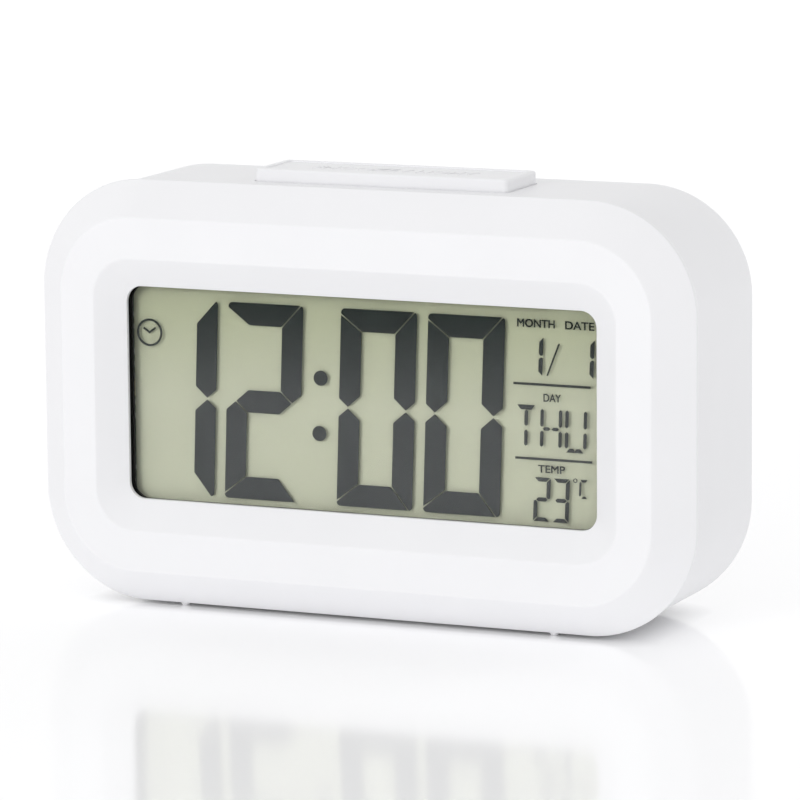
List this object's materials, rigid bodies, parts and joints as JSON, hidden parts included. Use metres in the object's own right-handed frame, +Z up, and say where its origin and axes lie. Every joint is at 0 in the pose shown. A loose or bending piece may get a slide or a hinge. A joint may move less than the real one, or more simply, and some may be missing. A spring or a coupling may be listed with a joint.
{
  "type": "digital alarm clock",
  "caption": "White battery alarm clock with a bevelled front, large liquid crystal display, push bar for snooze on top, rear buttons and a hinged battery door.",
  "frame": {"origin": "on the table under the middle of the clock, at the level of the feet", "axes": "+X to the clock's right as its front is looked at, +Y to the rear, +Z up"},
  "size_m": [0.135, 0.0446, 0.0848],
  "materials": {
    "white_abs": "moulded ABS, white, soft gloss",
    "grey_abs": "moulded ABS, light grey, matte",
    "clear_acrylic": "clear acrylic sheet, polished",
    "black_foam": "closed-cell foam tape, black",
    "display_glass": "thin display glass with polariser",
    "dark_segments": "darkened liquid crystal",
    "reflector": "grey-green reflecting film on a light guide",
    "led_resin": "clear resin",
    "zebra_rubber": "layered silicone rubber",
    "black_plastic": "moulded plastic, black",
    "board_green": "glass-fibre board with green solder resist",
    "screw_steel": "zinc-plated steel",
    "nickel_plate": "nickel-plated spring steel",
    "black_epoxy": "cast epoxy, black",
    "ribbon_grey": "flat cable insulation, grey",
    "brass": "rolled brass sheet",
    "buzzer_ceramic": "fired piezo ceramic",
    "wire_red": "wire insulation, red",
    "wire_black": "wire insulation, black",
    "cell_jacket": "plain green sleeve over a metal can"
  },
  "bodies": {
    "case": {"front_bezel": "white_abs", "rear_housing": "white_abs", "display_lens": "clear_acrylic", "battery_1": "cell_jacket", "battery_2": "cell_jacket", "battery_3": "cell_jacket", "display_gasket": "black_foam", "lcd_front_glass": "display_glass", "lcd_segments": "dark_segments", "lcd_rear_glass": "display_glass", "light_guide": "reflector", "backlight_leds": "led_resin", "zebra_strips": "zebra_rubber", "display_frame": "black_plastic", "main_board": "board_green", "board_screws": "screw_steel", "control_chip": "black_epoxy", "quartz_crystal": "screw_steel", "thermistor": "black_epoxy", "snooze_switch": "black_plastic", "case_screws": "screw_steel", "battery_contacts": "nickel_plate", "button_board": "board_green", "button_board_screws": "screw_steel", "tact_switches": "black_plastic", "alarm_switch": "black_plastic", "ribbon_cable": "ribbon_grey", "buzzer_disc": "brass", "buzzer_element": "buzzer_ceramic", "battery_lead_red": "wire_red", "battery_lead_black": "wire_black", "buzzer_lead_inner": "wire_red", "buzzer_lead_outer": "wire_black"},
    "snooze": {"snooze_bar": "white_abs", "snooze_plunger": "black_plastic"},
    "mode_key": {"button_mode": "grey_abs", "plunger_mode": "black_plastic"},
    "set_key": {"button_set": "grey_abs", "plunger_set": "black_plastic"},
    "up_key": {"button_up": "grey_abs", "plunger_up": "black_plastic"},
    "down_key": {"button_down": "grey_abs", "plunger_down": "black_plastic"},
    "alarm_key": {"button_alarm": "grey_abs", "plunger_alarm": "black_plastic"},
    "alarm_slider": {"alarm_knob": "grey_abs"},
    "door": {"battery_door": "white_abs"}
  },
  "joints": [
    {"name": "snooze_press", "type": "slide", "parent": "case", "child": "snooze", "axis": [0, 0, -1], "range_m": [0, 0.001], "stiffness_N_per_m": 600, "springref_m": -0.001},
    {"name": "mode_press", "type": "slide", "parent": "case", "child": "mode_key", "axis": [0, -1, 0], "range_m": [0, 0.0005], "stiffness_N_per_m": 1500, "springref_m": -0.0006},
    {"name": "set_press", "type": "slide", "parent": "case", "child": "set_key", "axis": [0, -1, 0], "range_m": [0, 0.0005], "stiffness_N_per_m": 1500, "springref_m": -0.0006},
    {"name": "up_press", "type": "slide", "parent": "case", "child": "up_key", "axis": [0, -1, 0], "range_m": [0, 0.0005], "stiffness_N_per_m": 1500, "springref_m": -0.0006},
    {"name": "down_press", "type": "slide", "parent": "case", "child": "down_key", "axis": [0, -1, 0], "range_m": [0, 0.0005], "stiffness_N_per_m": 1500, "springref_m": -0.0006},
    {"name": "alarm_press", "type": "slide", "parent": "case", "child": "alarm_key", "axis": [0, -1, 0], "range_m": [0, 0.0005], "stiffness_N_per_m": 1500, "springref_m": -0.0006},
    {"name": "alarm_slide", "type": "slide", "parent": "case", "child": "alarm_slider", "axis": [1, 0, 0], "range_m": [0, 0.003]},
    {"name": "battery_door_hinge", "type": "hinge", "parent": "case", "child": "door", "pos_m": [0, 0.01995, 0.01463], "axis": [-1, 0, 0], "range_deg": [0, 85]}
  ]
}
